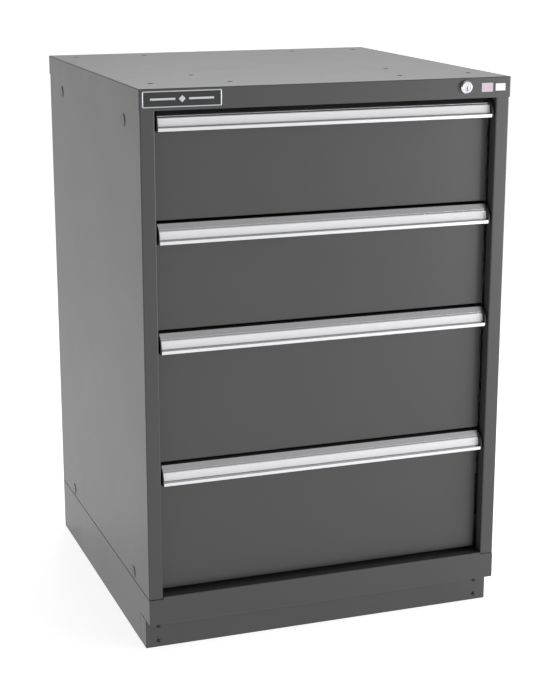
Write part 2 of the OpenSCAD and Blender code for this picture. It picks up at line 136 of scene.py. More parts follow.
@dataclass(frozen=True)
class Finish:
    """A surface as its maker left it.

    Attributes:
        name: The real material and how its surface was made.
        colour: Its usual colour.
        tone: The colour that it drifts to from place to place.
        roughness: Lowest and highest roughness.
        grain_mm: Size of the relief's grain along X, Y and Z.
        relief_mm: Height of that relief.
        drift_mm: Size of the slow change of colour and gloss.
        metallic: 1 for bare metal.
        ior: Index of refraction, which only a non-metal sets.
        coat: Weight and roughness of a clear layer.
    """

    name: str
    colour: str
    tone: str
    roughness: tuple[float, float]
    grain_mm: tuple[float, float, float]
    relief_mm: float
    drift_mm: float = 90.0
    metallic: float = 0.0
    ior: float | None = None
    coat: tuple[float, float] = (0.0, 0.1)

    def material(self) -> Material:
        """Builds the material the first time, and finds it after that.

        Returns:
            The material.
        """
        known = bpy.data.materials.get(self.name)
        if known:
            return known
        made = bpy.data.materials.new(self.name)
        made.use_nodes = True
        tree = made.node_tree
        tree.nodes.clear()
        at = add_node(tree, "ShaderNodeTexCoord").outputs["Object"]
        drift = self.drift(tree, at)
        tint = add_node(
            tree,
            "ShaderNodeMix",
            {"Factor": drift, MIX_A: linear(self.colour), MIX_B: linear(self.tone)},
            data_type="RGBA",
        )
        gloss = add_node(
            tree,
            "ShaderNodeMapRange",
            {"Value": drift, "To Min": self.roughness[0], "To Max": self.roughness[1]},
        )
        bump = add_node(
            tree,
            "ShaderNodeBump",
            {"Strength": 1.0, "Distance": self.relief_mm * MM, "Height": self.relief(tree, at)},
        )
        shader = add_node(
            tree,
            "ShaderNodeBsdfPrincipled",
            {
                "Base Color": tint.outputs[MIX_OUT],
                "Roughness": gloss.outputs["Result"],
                "Normal": bump.outputs["Normal"],
                "Metallic": self.metallic,
                "Coat Weight": self.coat[0],
                "Coat Roughness": self.coat[1],
            },
        )
        if self.ior is not None:
            shader.inputs["IOR"].default_value = self.ior
        add_node(tree, "ShaderNodeOutputMaterial", {"Surface": shader.outputs["BSDF"]})
        made.diffuse_color = linear(self.colour)
        return made

    def drift(self, tree: NodeTree, at: NodeSocket) -> NodeSocket:
        """Slow change over the surface, from 0 to 1.

        Args:
            tree: The material's tree.
            at: Object coordinates.

        Returns:
            The output that gives it.
        """
        noise = add_node(
            tree,
            "ShaderNodeTexNoise",
            {"Vector": at, "Scale": 1 / (self.drift_mm * MM), "Detail": 3.0, "Roughness": 0.55},
        )
        return noise.outputs["Fac"]

    def relief(self, tree: NodeTree, at: NodeSocket) -> NodeSocket:
        """Height of the grain, from 0 to 1.

        Args:
            tree: The material's tree.
            at: Object coordinates.

        Returns:
            The output that gives it.
        """
        scaled = add_node(
            tree,
            "ShaderNodeMapping",
            {"Vector": at, "Scale": [1 / (size * MM) for size in self.grain_mm]},
        )
        noise = add_node(
            tree,
            "ShaderNodeTexNoise",
            {"Vector": scaled.outputs["Vector"], "Scale": 1.0, "Detail": 2.0},
        )
        return noise.outputs["Fac"]


@dataclass(frozen=True)
class PowderCoat(Finish):
    """Baked powder coat on steel: an even colour, a soft gloss and the faint dimples of orange peel."""

    def relief(self, tree: NodeTree, at: NodeSocket) -> NodeSocket:
        """Round dimples, with a slower wave under them.

        Args:
            tree: The material's tree.
            at: Object coordinates.

        Returns:
            The output that gives it.
        """
        size = self.grain_mm[0] * MM
        cells = add_node(
            tree,
            "ShaderNodeTexVoronoi",
            {"Vector": at, "Scale": 1 / size, "Smoothness": 1.0},
            feature="SMOOTH_F1",
        )
        wave = add_node(tree, "ShaderNodeTexNoise", {"Vector": at, "Scale": 0.25 / size, "Detail": 1.0})
        both = add_node(
            tree,
            "ShaderNodeMath",
            {0: cells.outputs["Distance"], 1: wave.outputs["Fac"]},
            operation="ADD",
        )
        return both.outputs["Value"]


@dataclass(frozen=True)
class Plated(Finish):
    """Zinc plate on rolled steel: a metal with faint crystals, over the strip's rolling lines."""

    crystal_mm: float = 9.0

    def drift(self, tree: NodeTree, at: NodeSocket) -> NodeSocket:
        """Crystals of the plate, each with its own tone.

        Args:
            tree: The material's tree.
            at: Object coordinates.

        Returns:
            The output that gives it.
        """
        cells = add_node(
            tree,
            "ShaderNodeTexVoronoi",
            {"Vector": at, "Scale": 1 / (self.crystal_mm * MM), "Randomness": 1.0},
        )
        grey = add_node(tree, "ShaderNodeRGBToBW", {"Color": cells.outputs["Color"]})
        return grey.outputs["Val"]


# Powder coats: the paint covers every edge, so the colour is the same on all faces. Their orange peel
# is 2.6 mm across, and their tone changes slowly.
PEEL = (2.6,) * 3
PAINT_DRIFT = 140.0
HOUSING_PAINT = PowderCoat(
    "powder_coated_steel_charcoal", "#404040", "#434343", (0.32, 0.38), PEEL, 0.01, PAINT_DRIFT, ior=1.5
)
FRONT_PAINT = PowderCoat(
    "powder_coated_steel_drawer_front", "#404040", "#434343", (0.28, 0.34), PEEL, 0.008, PAINT_DRIFT, ior=1.5
)
INNER_PAINT = PowderCoat(
    "powder_coated_steel_inside", "#565656", "#5b5b5b", (0.42, 0.52), PEEL, 0.012, PAINT_DRIFT, ior=1.5
)
# Anodised extrusion: a bright satin metal with die lines along X, drawn 0.9 mm apart so that they show.
ALUMINIUM = Finish(
    "anodised_aluminium_extrusion", "#e0e0e2", "#d6d6d9", (0.22, 0.3), (420.0, 0.9, 0.9), 0.010, 60.0, 1.0
)
ZINC = Plated("zinc_plated_steel", "#b4b8bc", "#c4c7ca", (0.3, 0.42), (0.8, 160.0, 0.8), 0.006, 60.0, 1.0)
# Moulded nylon: a fine spark-eroded texture, which gives the black a grey sheen.
BLACK_NYLON = Finish(
    "moulded_black_nylon", "#19191b", "#1e1e20", (0.38, 0.5), (0.9,) * 3, 0.02, 30.0, ior=1.53
)
GREY_NYLON = Finish("moulded_grey_nylon", "#404040", "#444444", (0.3, 0.38), (0.9,) * 3, 0.012, 30.0, ior=1.5)
# Card behind a glossy film: white, with faint fibres.
CARD = Finish(
    "white_label_card", "#f3f3f4", "#ebebed", (0.5, 0.6), (3.0, 1.2, 1.2), 0.01, 25.0, ior=1.5,
    coat=(0.5, 0.08),
)
ENAMEL = Finish("dark_enamel_plate", "#1f1f20", "#252526", (0.3, 0.38), (1.5,) * 3, 0.008, 20.0, ior=1.5)
NICKEL = Finish("satin_nickel_edge", "#c9cbce", "#bdbfc3", (0.28, 0.36), (0.6,) * 3, 0.006, 12.0, 1.0)
FILM = Finish("printed_label_film", "#d6bfc8", "#cbb6c4", (0.25, 0.32), (2.0,) * 3, 0.005, 9.0, ior=1.48)
DARK_FILM = Finish("dark_label_film", "#35353a", "#3b3b40", (0.25, 0.32), (2.0,) * 3, 0.005, 9.0, ior=1.48)
# Polished chrome: nearly a mirror, with the hair marks that keys leave.
CHROME = Finish("polished_chrome", "#e6e7ea", "#dcdde1", (0.08, 0.16), (0.4, 0.4, 5.0), 0.004, 8.0, 1.0)
BLACK_OXIDE = Finish("black_oxide_steel", "#3e3e40", "#48484a", (0.32, 0.42), (0.7,) * 3, 0.008, 6.0, 1.0)
# Ground steel of the rollers: rings left by the wheel, darker than the plated strip.
ROLLER_STEEL = Finish(
    "ground_roller_steel", "#77797d", "#8a8c90", (0.22, 0.34), (0.5, 9.0, 9.0), 0.006, 12.0, 1.0
)

FINISHES: dict[str, Finish] = {
    "housing_paint": HOUSING_PAINT,
    "front_paint": FRONT_PAINT,
    "inner_paint": INNER_PAINT,
    "aluminium": ALUMINIUM,
    "zinc_steel": ZINC,
    "black_plastic": BLACK_NYLON,
    "grey_plastic": GREY_NYLON,
    "card": CARD,
    "plate": ENAMEL,
    "label": FILM,
    "lock_chrome": CHROME,
    "black_screw": BLACK_OXIDE,
    "roller_steel": ROLLER_STEEL,
}


# ------------------------------------------------------------------ making


class Edges(Enum):
    """How a way of making leaves a piece's outer edges: its name, largest radius in mm, and segments."""

    FOLDED = ("folded", 1.5, 3)
    SHEARED = ("sheared", 0.5, 2)
    WELDED = ("welded", 0.9, 2)
    EXTRUDED = ("extruded", 0.45, 3)
    MOULDED = ("moulded", 0.8, 3)
    TURNED = ("turned", 0.35, 2)

    def __init__(self, label: str, radius_mm: float, segments: int) -> None:
        """Names the three values.

        Args:
            label: What the edges are called in a piece's name.
            radius_mm: Their largest radius.
            segments: Faces across the rounding.
        """
        self.label = label
        self.radius_mm = radius_mm
        self.segments = segments


def thickness(tree: BVHTree, edge: bmesh.types.BMEdge) -> float:
    """Depth of solid under an edge.

    Args:
        tree: The solid's surface.
        edge: A convex edge with two faces.

    Returns:
        The shorter way through the solid, straight down from either face.
    """
    normals = [face.normal for face in edge.link_faces]
    middle = (edge.verts[0].co + edge.verts[1].co) / 2
    inside = middle - (normals[0] + normals[1]) * PROBE_MM * MM
    depths = [tree.ray_cast(inside, -normal)[3] for normal in normals]
    return min((depth for depth in depths if depth is not None), default=0.0)


def softened(node: str, edges: Edges) -> Mesh:
    """Copies a CAD node's mesh, joins its triangles into faces, and rounds its outer edges.

    The radius is at most a third of the solid's depth under an edge, so sheet edges stay fine and
    bends come out full.

    Args:
        node: The CAD node.
        edges: How the piece's edges were left.

    Returns:
        A plain mesh.
    """
    bm = bmesh.new()
    bm.from_mesh(frame["nodes"][node].data)
    bmesh.ops.remove_doubles(bm, verts=bm.verts, dist=WELD_MM * MM)
    bmesh.ops.dissolve_limit(bm, angle_limit=math.radians(FLAT_DEG), verts=bm.verts, edges=bm.edges)
    bm.normal_update()
    surface = BVHTree.FromBMesh(bm)
    weight = bm.edges.layers.float.new("bevel_weight_edge")
    radius = edges.radius_mm * MM
    for edge in bm.edges:
        sharp = len(edge.link_faces) == 2 and edge.calc_face_angle(0.0) > math.radians(SHARP_DEG)
        edge.smooth = not sharp
        if sharp and edge.is_convex:
            edge[weight] = min(1.0, BEVEL_SHARE * thickness(surface, edge) / radius)
    for face in bm.faces:
        face.smooth = True
    mesh = bpy.data.meshes.new(f"{node}_{edges.label}")
    bm.to_mesh(mesh)
    bm.free()
    piece = placed(mesh)
    bevel = piece.modifiers.new("edges", "BEVEL")
    bevel.limit_method = "WEIGHT"
    bevel.width = radius
    bevel.segments = edges.segments
    bevel.use_clamp_overlap = False
    bevel.harden_normals = True
    bevel.miter_outer = "MITER_ARC"
    flatten = piece.modifiers.new("shading", "WEIGHTED_NORMAL")
    flatten.keep_sharp = True
    return evaluated(piece)


def placed(mesh: Mesh) -> Object:
    """Puts a mesh into the scene as an object of the same name, at the origin.

    Args:
        mesh: The mesh, with its place in its points.

    Returns:
        The object.
    """
    piece = bpy.data.objects.new(mesh.name, mesh)
    bpy.context.scene.collection.objects.link(piece)
    return piece


def evaluated(piece: Object) -> Mesh:
    """Turns an object with modifiers into a plain mesh of the same name, and removes the object.

    Args:
        piece: The object.

    Returns:
        The plain mesh.
    """
    graph = bpy.context.evaluated_depsgraph_get()
    name = piece.name
    mesh = bpy.data.meshes.new_from_object(
        piece.evaluated_get(graph), preserve_all_data_layers=True, depsgraph=graph
    )
    source = piece.data
    bpy.data.objects.remove(piece)
    if source.users == 0:
        bpy.data.meshes.remove(source)
    mesh.name = name
    return mesh


def turned(
    name: str, rings: Sequence[tuple[float, float, int]], closed: bool = False, steps: int = 36
) -> Mesh:
    """Makes a turned piece round the Z axis, with its face towards +Z.

    Args:
        name: The mesh's name.
        rings: Radius and height in mm, and 0 for a circle or a number of sides, from the back
            round the outside to the front.
        closed: True for a ring, whose last outline joins its first.
        steps: Points on each ring.

    Returns:
        The mesh, in metres.
    """
    bm = bmesh.new()
    loops = []
    for radius, height, sides in rings:
        loop = []
        for step in range(steps):
            angle = math.tau * step / steps
            reach = radius
            if sides:
                half = math.pi / sides
                reach = radius * math.cos(half) / math.cos((angle % (2 * half)) - half)
            point = Vector((reach * math.cos(angle), reach * math.sin(angle), height))
            loop.append(bm.verts.new(point * MM))
        loops.append(loop)
    pairs = list(zip(loops, loops[1:]))
    if closed:
        pairs.append((loops[-1], loops[0]))
    else:
        bm.faces.new(loops[0][::-1])
        bm.faces.new(loops[-1])
    for low, high in pairs:
        for step in range(steps):
            after = (step + 1) % steps
            bm.faces.new((low[step], low[after], high[after], high[step]))
    for face in bm.faces:
        face.smooth = True
    for edge in bm.edges:
        edge.smooth = edge.calc_face_angle(0.0) < math.radians(TURNED_SHARP_DEG)
    bmesh.ops.recalc_face_normals(bm, faces=bm.faces)
    mesh = bpy.data.meshes.new(name)
    bm.to_mesh(mesh)
    bm.free()
    return mesh


def rounded_plate(name: str, low: Vector, high: Vector, radius_mm: float, rise_mm: float = 0.0) -> Mesh:
    """Makes a thin plate that faces -Y, with round corners.

    Args:
        name: The mesh's name.
        low: The plate's lowest corner.
        high: Its highest corner.
        radius_mm: Radius of the corners.
        rise_mm: How far the rim is chamfered.

    Returns:
        The mesh, in metres.
    """
    corner = radius_mm * MM
    chamfer = rise_mm * MM
    least = 0.05 * MM
    arc_step_deg = 15

    def outline(inset: float) -> list[tuple[float, float]]:
        """Goes round the rim.

        Args:
            inset: How far the rim is moved inwards, in metres.

        Returns:
            X and Z of each point.
        """
        r = max(corner - inset, least)
        middles = [
            (high.x - corner, high.z - corner, 0),
            (low.x + corner, high.z - corner, 90),
            (low.x + corner, low.z + corner, 180),
            (high.x - corner, low.z + corner, 270),
        ]
        return [
            (x + r * math.cos(math.radians(start + turn)), z + r * math.sin(math.radians(start + turn)))
            for x, z, start in middles
            for turn in range(0, 91, arc_step_deg)
        ]

    bm = bmesh.new()
    levels = [(high.y, 0.0), (low.y + chamfer, 0.0)]
    if chamfer:
        levels.append((low.y, chamfer))
    loops = [[bm.verts.new((x, y, z)) for x, z in outline(inset)] for y, inset in levels]
    bm.faces.new(loops[0])
    bm.faces.new(loops[-1][::-1])
    for near, far in zip(loops, loops[1:]):
        for i in range(len(near)):
            j = (i + 1) % len(near)
            bm.faces.new((near[i], near[j], far[j], far[i]))
    bmesh.ops.recalc_face_normals(bm, faces=bm.faces)
    mesh = bpy.data.meshes.new(name)
    bm.to_mesh(mesh)
    bm.free()
    return mesh


# ------------------------------------------------------------------ geometry nodes


def interface(tree: NodeTree, sockets: Iterable[tuple[str, str]]) -> Node:
    """Declares a tree's inputs and its geometry output.

    Args:
        tree: A geometry node tree.
        sockets: Name and socket type of each input.

    Returns:
        The group input node.
    """
    for name, kind in sockets:
        tree.interface.new_socket(name, in_out="INPUT", socket_type=kind)
    tree.interface.new_socket("Geometry", in_out="OUTPUT", socket_type="NodeSocketGeometry")
    return add_node(tree, "NodeGroupInput")


def finish_tree(tree: NodeTree, shape: NodeSocket, finish: NodeSocket) -> None:
    """Ends a tree in Realize Instances and Set Material.

    Args:
        tree: The tree.
        shape: The output that gives its shape.
        finish: The input that gives its material.
    """
    real = add_node(tree, "GeometryNodeRealizeInstances", {"Geometry": shape})
    dressed = add_node(
        tree, "GeometryNodeSetMaterial", {"Geometry": real.outputs["Geometry"], "Material": finish}
    )
    add_node(tree, "NodeGroupOutput", {"Geometry": dressed.outputs["Geometry"]})


def pattern_tree() -> NodeTree:
    """Makes the tree that sets a master piece at each point, along its facing and turned at random.

    Returns:
        The tree.
    """
    tree = bpy.data.node_groups.new("set_at_points", "GeometryNodeTree")
    given = interface(
        tree,
        [
            ("Points", "NodeSocketGeometry"),
            ("Master", "NodeSocketObject"),
            ("Size", "NodeSocketFloat"),
            ("Most turn", "NodeSocketFloat"),
            ("Seed", "NodeSocketInt"),
            ("Finish", "NodeSocketMaterial"),
        ],
    )
    facing = add_node(
        tree, "GeometryNodeInputNamedAttribute", {"Name": FACING}, data_type="FLOAT_VECTOR"
    )
    aimed = add_node(
        tree, "FunctionNodeAlignRotationToVector", {"Vector": facing.outputs["Attribute"]}, axis="Z"
    )
    turn = add_node(
        tree,
        "FunctionNodeRandomValue",
        {2: 0.0, 3: given.outputs["Most turn"], "Seed": given.outputs["Seed"]},
        data_type="FLOAT",
    )
    spin = add_node(
        tree, "FunctionNodeAxisAngleToRotation", {"Axis": (0.0, 0.0, 1.0), "Angle": turn.outputs[1]}
    )
    rotation = add_node(
        tree,
        "FunctionNodeRotateRotation",
        {"Rotation": aimed.outputs["Rotation"], "Rotate By": spin.outputs["Rotation"]},
        rotation_space="LOCAL",
    )
    master = add_node(tree, "GeometryNodeObjectInfo", {"Object": given.outputs["Master"]})
    copies = add_node(
        tree,
        "GeometryNodeInstanceOnPoints",
        {
            "Points": given.outputs["Points"],
            "Instance": master.outputs["Geometry"],
            "Rotation": rotation.outputs["Rotation"],
            "Scale": given.outputs["Size"],
        },
    )
    finish_tree(tree, copies.outputs["Instances"], given.outputs["Finish"])
    return tree


def bead_tree() -> NodeTree:
    """Makes the tree that sweeps a round bead round a rectangle with round corners, in the XY plane.

    Returns:
        The tree.
    """
    tree = bpy.data.node_groups.new("raised_border", "GeometryNodeTree")
    given = interface(
        tree,
        [
            ("Width", "NodeSocketFloat"),
            ("Height", "NodeSocketFloat"),
            ("Corner", "NodeSocketFloat"),
            ("Bead", "NodeSocketFloat"),
            ("Finish", "NodeSocketMaterial"),
        ],
    )
    path = add_node(
        tree,
        "GeometryNodeCurvePrimitiveQuadrilateral",
        {"Width": given.outputs["Width"], "Height": given.outputs["Height"]},
    )
    rounded = add_node(
        tree,
        "GeometryNodeFilletCurve",
        {"Curve": path.outputs["Curve"], "Radius": given.outputs["Corner"], "Count": 6},
        mode="POLY",
    )
    section = add_node(
        tree, "GeometryNodeCurvePrimitiveCircle", {"Resolution": 12, "Radius": given.outputs["Bead"]}
    )
    bead = add_node(
        tree,
        "GeometryNodeCurveToMesh",
        {"Curve": rounded.outputs["Curve"], "Profile Curve": section.outputs["Curve"]},
    )
    finish_tree(tree, bead.outputs["Mesh"], given.outputs["Finish"])
    return tree


def grown(name: str, tree: NodeTree, values: dict[str, Any], points: Mesh | None = None) -> Mesh:
    """Runs a geometry node tree and returns its result as a plain mesh.

    Args:
        name: The mesh's name.
        tree: The tree.
        values: Input name to value.
        points: The mesh that the tree starts from, if it takes one.

    Returns:
        The plain mesh.
    """
    piece = bpy.data.objects.new(name, points or bpy.data.meshes.new(name + "_start"))
    bpy.context.scene.collection.objects.link(piece)
    modifier = piece.modifiers.new(tree.name, "NODES")
    modifier.node_group = tree
    for item in tree.interface.items_tree:
        if item.in_out == "INPUT" and item.name in values:
            modifier[item.identifier] = values[item.name]
    return evaluated(piece)


def points_mesh(name: str, places: Iterable[tuple[Vector, Vector]]) -> Mesh:
    """Makes a mesh of loose points that know which way they face.

    Args:
        name: The mesh's name.
        places: Point and facing direction, in metres.

    Returns:
        The mesh.
    """
    places = list(places)
    mesh = bpy.data.meshes.new(name)
    mesh.from_pydata([place for place, _ in places], [], [])
    facing = mesh.attributes.new(FACING, "FLOAT_VECTOR", "POINT")
    for item, (_, direction) in zip(facing.data, places):
        item.vector = direction
    return mesh


# ------------------------------------------------------------------ sub-assemblies


@dataclass
class SubAssembly:
    """Pieces that are made and dressed together.

    Attributes:
        edges: CAD node to the way its edges were left.
        pattern: The tree that sets a master piece at points.
    """

    pattern: NodeTree
    edges: dict[str, Edges] = field(default_factory=dict)

    def fit(self, mesh: Mesh, nodes: Sequence[str], body: str = "", finish: Finish | None = None) -> Object:
        """Puts a mesh in place, dresses it, and lets it ride and stand for CAD nodes.

        Args:
            mesh: The finished mesh, in the frame's place.
            nodes: The CAD nodes that it stands for, or none.
            body: The body that it rides on, if that isn't the nodes' own.
            finish: Its finish, if that isn't the nodes' own.

        Returns:
            The piece.
        """
        piece = placed(mesh)
        if nodes:
            slot = SLOTS[nodes[0]]
            body = body or frame["nodes"][nodes[0]]["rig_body"]
            finish = finish or FINISHES[slot]
            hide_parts(*nodes)
        if finish:
            piece.data.materials.clear()
            piece.data.materials.append(finish.material())
        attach(piece, body)
        LOG.info("%s: %d faces on %s", piece.name, len(mesh.polygons), body)
        return piece

    def soften_nodes(self) -> None:
        """Makes a softened piece for each CAD node that has an entry in edges."""
        for node, edges in self.edges.items():
            self.fit(softened(node, edges), [node])

    def set_at(
        self,
        name: str,
        master: Mesh,
        places: Iterable[tuple[Vector, Vector]],
        finish: Finish,
        most_turn: float = 0.0,
        seed: int = 1,
    ) -> Mesh:
        """Sets copies of a master piece at points, as one plain mesh.

        Args:
            name: The new mesh's name.
            master: The piece, with its face towards +Z.
            places: Point and facing direction of each copy.
            finish: The copies' finish.
            most_turn: Largest random turn about the facing direction, in radians.
            seed: Seed of those turns.

        Returns:
            The plain mesh.
        """
        model = placed(master)
        values = {
            "Master": model,
            "Size": 1.0,
            "Most turn": most_turn,
            "Seed": seed,
            "Finish": finish.material(),
        }
        mesh = grown(name, self.pattern, values, points_mesh(name + "_points", places))
        bpy.data.objects.remove(model)
        return mesh

    def build(self) -> None:
        """Builds the sub-assembly."""
        self.soften_nodes()


@dataclass
class Housing(SubAssembly):
    """Sheet-steel sides, back and cap, with the plugs, nameplate and labels.

    Attributes:
        plug_head_mm: Radius of a plug's head.
        plug_shank_mm: Radius of its shank.
        border_mm: Width of the nameplate's raised border.
        border_corner_mm: Radius of the border's corners.
        border_flat: Share of its round height that the border keeps.
        border_depth: Depth of the border's middle line behind its front, in bead radii.
        bar_mm: Height of the plain bars on the nameplate.
        plate_face_mm: Depth of the nameplate's face behind the front of its border.
        plate_corner_mm: Radius of the plate's corners.
        plate_chamfer_mm: Chamfer round the plate's rim.
        label_half_gap_mm: Half the gap between the two labels.
        label_corner_mm: Radius of a label's corners.
        film_face_mm: Depth of a label's film behind the front of its CAD box.
        field_face_mm: Depth of the white field behind the same front.
        field_corner_mm: Radius of the field's corners.
        field_inset_mm: Margins of the field, at its sides and at its top and foot.
    """

    plug_head_mm: float = 12.0
    plug_shank_mm: float = 9.3
    border_mm: float = 2.4
    border_corner_mm: float = 1.2
    border_flat: float = 0.6
    border_depth: float = 0.62
    bar_mm: float = 4.0
    plate_face_mm: float = 0.45
    plate_corner_mm: float = 1.0
    plate_chamfer_mm: float = 0.2
    label_half_gap_mm: float = 2.0
    label_corner_mm: float = 1.2
    film_face_mm: float = 0.08
    field_face_mm: float = 0.02
    field_corner_mm: float = 0.6
    field_inset_mm: tuple[float, float] = (1.3, 1.5)

    def build(self) -> None:
        """Builds the shells, and what is fixed to them."""
        self.edges = {
            "left_side_panel": Edges.SHEARED,
            "right_side_panel": Edges.SHEARED,
            "back_panel": Edges.FOLDED,
            "top_cap": Edges.FOLDED,
        }
        self.soften_nodes()
        self.plugs()
        self.nameplate()
        self.labels()

    def plugs(self) -> None:
        """Press-in plugs: a low dome with a rim, a sunk ring, and a short shank with a snap bead."""
        head, shank = self.plug_head_mm, self.plug_shank_mm
        rings = [
            (shank - 1.5, -5.3, 0), (shank - 0.8, -5.5, 0), (shank, -4.6, 0), (shank, -3.4, 0),
            (shank - 0.5, -2.6, 0), (shank - 0.5, 0.0, 0), (head, 0.0, 0), (head, 0.4, 0),
            (head - 0.35, 0.8, 0), (head - 1.1, 1.02, 0), (head - 2.2, 0.95, 0), (head - 2.9, 0.6, 0),
            (head - 3.6, 0.6, 0), (head - 4.4, 0.85, 0), (head - 7.0, 1.0, 0), (head - 10.5, 1.05, 0),
        ]
        low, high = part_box("side_hole_plugs")
        reach = self.plug_head_mm * MM
        ys = (low.y + reach, high.y - reach)
        zs = (low.z + reach, high.z - reach)
        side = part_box("right_side_panel")[1].x
        places = [
            (Vector((sign * side, y, z)), Vector((sign, 0, 0))) for sign in (-1, 1) for y in ys for z in zs
        ]
        master = turned("plug_master", rings, steps=40)
        mesh = self.set_at("side_hole_plugs_moulded", master, places, GREY_NYLON, math.tau, seed=7)
        self.fit(mesh, ["side_hole_plugs"])

    def nameplate(self) -> None:
        """Blank enamel plate with a raised bright border, and a plain bar and lozenge ornament."""
        low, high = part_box("nameplate")
        bead = self.border_mm * MM / 2
        plate_low = low + Vector((bead, self.plate_face_mm * MM, bead))
        plate_high = high - Vector((bead, 0, bead))
        plate = rounded_plate(
            "nameplate_enamelled", plate_low, plate_high, self.plate_corner_mm, self.plate_chamfer_mm
        )
        self.fit(plate, ["nameplate"])
        middle = (low + high) / 2
        values = {
            "Width": high.x - low.x - 2 * bead,
            "Height": high.z - low.z - 2 * bead,
            "Corner": self.border_corner_mm * MM,
            "Bead": bead,
            "Finish": NICKEL.material(),
        }
        border = grown("nameplate_border", bead_tree(), values)
        flat = Matrix.Diagonal((1, self.border_flat, 1, 1)) @ Matrix.Rotation(math.pi / 2, 4, "X")
        depth = self.border_depth * bead
        border.transform(Matrix.Translation((middle.x, low.y + depth, middle.z)) @ flat)
        for face in border.polygons:
            face.use_smooth = True
        self.fit(border, [], "housing", NICKEL)
        self.ornament(middle, low.y + self.plate_face_mm * MM, high.x - low.x)

    def ornament(self, middle: Vector, face_y: float, width: float) -> None:
        """Two plain bars with a lozenge between them, raised from the plate.

        Args:
            middle: The plate's middle.
            face_y: The plate's face.
            width: The plate's width.
        """
        half = self.bar_mm * MM / 2
        lozenge = 3.2 * half
        inner, outer = 0.085 * width, 0.4 * width
        rise, slope, top_share = 0.35 * MM, 0.2 * MM, 0.85
        bm = bmesh.new()

        def raised(outline: Sequence[tuple[float, float]]) -> None:
            """Raises an outline off the plate, with a narrower top.

            Args:
                outline: X and Z of its corners, from the plate's middle.
            """
            cx = sum(x for x, _ in outline) / len(outline)
            foot = [bm.verts.new((middle.x + x, face_y, middle.z + z)) for x, z in outline]
            top = []
            for x, z in outline:
                top_x = middle.x + x - math.copysign(slope, x - cx)
                top.append(bm.verts.new((top_x, face_y - rise, middle.z + top_share * z)))
            bm.faces.new(foot)
            bm.faces.new(top[::-1])
            for i in range(len(foot)):
                j = (i + 1) % len(foot)
                bm.faces.new((foot[i], foot[j], top[j], top[i]))

        for sign in (-1, 1):
            raised([(sign * inner, -half), (sign * outer, -half), (sign * outer, half), (sign * inner, half)])
        raised([(-lozenge, 0), (0, -lozenge), (lozenge, 0), (0, lozenge)])
        bmesh.ops.recalc_face_normals(bm, faces=bm.faces)
        mesh = bpy.data.meshes.new("nameplate_ornament")
        bm.to_mesh(mesh)
        bm.free()
        self.fit(mesh, [], "housing", NICKEL)

    def labels(self) -> None:
        """Two blank adhesive labels, the second with a plain white field on a dark ground."""
        low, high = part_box("blank_labels")
        middle = (low.x + high.x) / 2
        gap = self.label_half_gap_mm * MM
        film_y = Vector((0, self.film_face_mm * MM, 0))
        corner = self.label_corner_mm
        pale_high = Vector((middle - gap, high.y, high.z))
        left = rounded_plate("blank_labels_pale", low + film_y, pale_high, corner)
        self.fit(left, ["blank_labels"])
        ground_low = Vector((middle + gap, low.y + self.film_face_mm * MM, low.z))
        self.fit(rounded_plate("label_dark_ground", ground_low, high, corner), [], "housing", DARK_FILM)
        across, upright = self.field_inset_mm
        inset = Vector((across, 0, upright)) * MM
        field_low = Vector((ground_low.x, low.y + self.field_face_mm * MM, low.z)) + inset
        field_high = Vector((high.x, ground_low.y, high.z)) - inset
        white = rounded_plate("label_white_field", field_low, field_high, self.field_corner_mm)
        self.fit(white, [], "housing", CARD)


@dataclass
class Base(SubAssembly):
    """Fork-lift base with its runners, covers and cover screws.

    Attributes:
        head_mm: Radius of a screw's head.
        head_rise_mm: Height of the head.
        key_mm: Radius of the hexagon socket, over its corners.
        shank_mm: Radius of the thread.
    """

    head_mm: float = 4.2
    head_rise_mm: float = 2.2
    key_mm: float = 1.7
    shank_mm: float = 2.4

    def build(self) -> None:
        """Builds the weldment, the runners and the covers, and their screws."""
        self.edges = {
            "base_frame": Edges.WELDED,
            "base_runners": Edges.WELDED,
            "base_front_cover": Edges.FOLDED,
            "base_rear_cover": Edges.FOLDED,
        }
        self.soften_nodes()
        self.screws()

    def screws(self) -> None:
        """Button-head screws with a hexagon socket."""
        head, rise, key = self.head_mm, self.head_rise_mm, self.key_mm
        shank = self.shank_mm
        rings = [
            (shank - 0.6, -8.9, 0), (shank, -8.3, 0), (shank, 0.0, 0), (head - 0.1, 0.0, 0), (head, 0.15, 0),
            (head - 0.1, 0.7, 0), (head - 0.6, 1.35, 0), (head - 1.3, 1.85, 0), (head - 1.9, rise - 0.05, 0),
            (key + 0.25, rise - 0.05, 0), (key, rise - 0.3, 6), (key, rise - 1.4, 6), (0.6, rise - 1.7, 0),
        ]
        low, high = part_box("base_cover_screws")
        reach = self.head_mm * MM
        xs = (low.x + reach, high.x - reach)
        zs = (low.z + reach, high.z - reach)
        faces = ((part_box("base_front_cover")[0].y, -1), (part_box("base_rear_cover")[1].y, 1))
        places = [(Vector((x, y, z)), Vector((0, sign, 0))) for y, sign in faces for x in xs for z in zs]
        mesh = self.set_at(
            "base_cover_screws_turned", turned("screw_master", rings), places, BLACK_OXIDE, math.tau, seed=3
        )
        self.fit(mesh, ["base_cover_screws"])


@dataclass
class FixedSlides(SubAssembly):
    """Uprights and the channels bolted to them."""

    def build(self) -> None:
        """Builds the uprights and channels."""
        self.edges = {"slide_uprights": Edges.FOLDED, "cabinet_channels": Edges.FOLDED}
        self.soften_nodes()


@dataclass
class Lock(SubAssembly):
    """Cam lock, its nut, cam and lifting bar, and the bar's guides."""

    def build(self) -> None:
        """Builds every part of the lock."""
        self.edges = {
            "lock_housing": Edges.TURNED,
            "lock_nut": Edges.TURNED,
            "lock_plug": Edges.TURNED,
            "lock_cam": Edges.SHEARED,
            "lock_bar": Edges.SHEARED,
            "lock_bar_guides": Edges.WELDED,
        }
        self.soften_nodes()


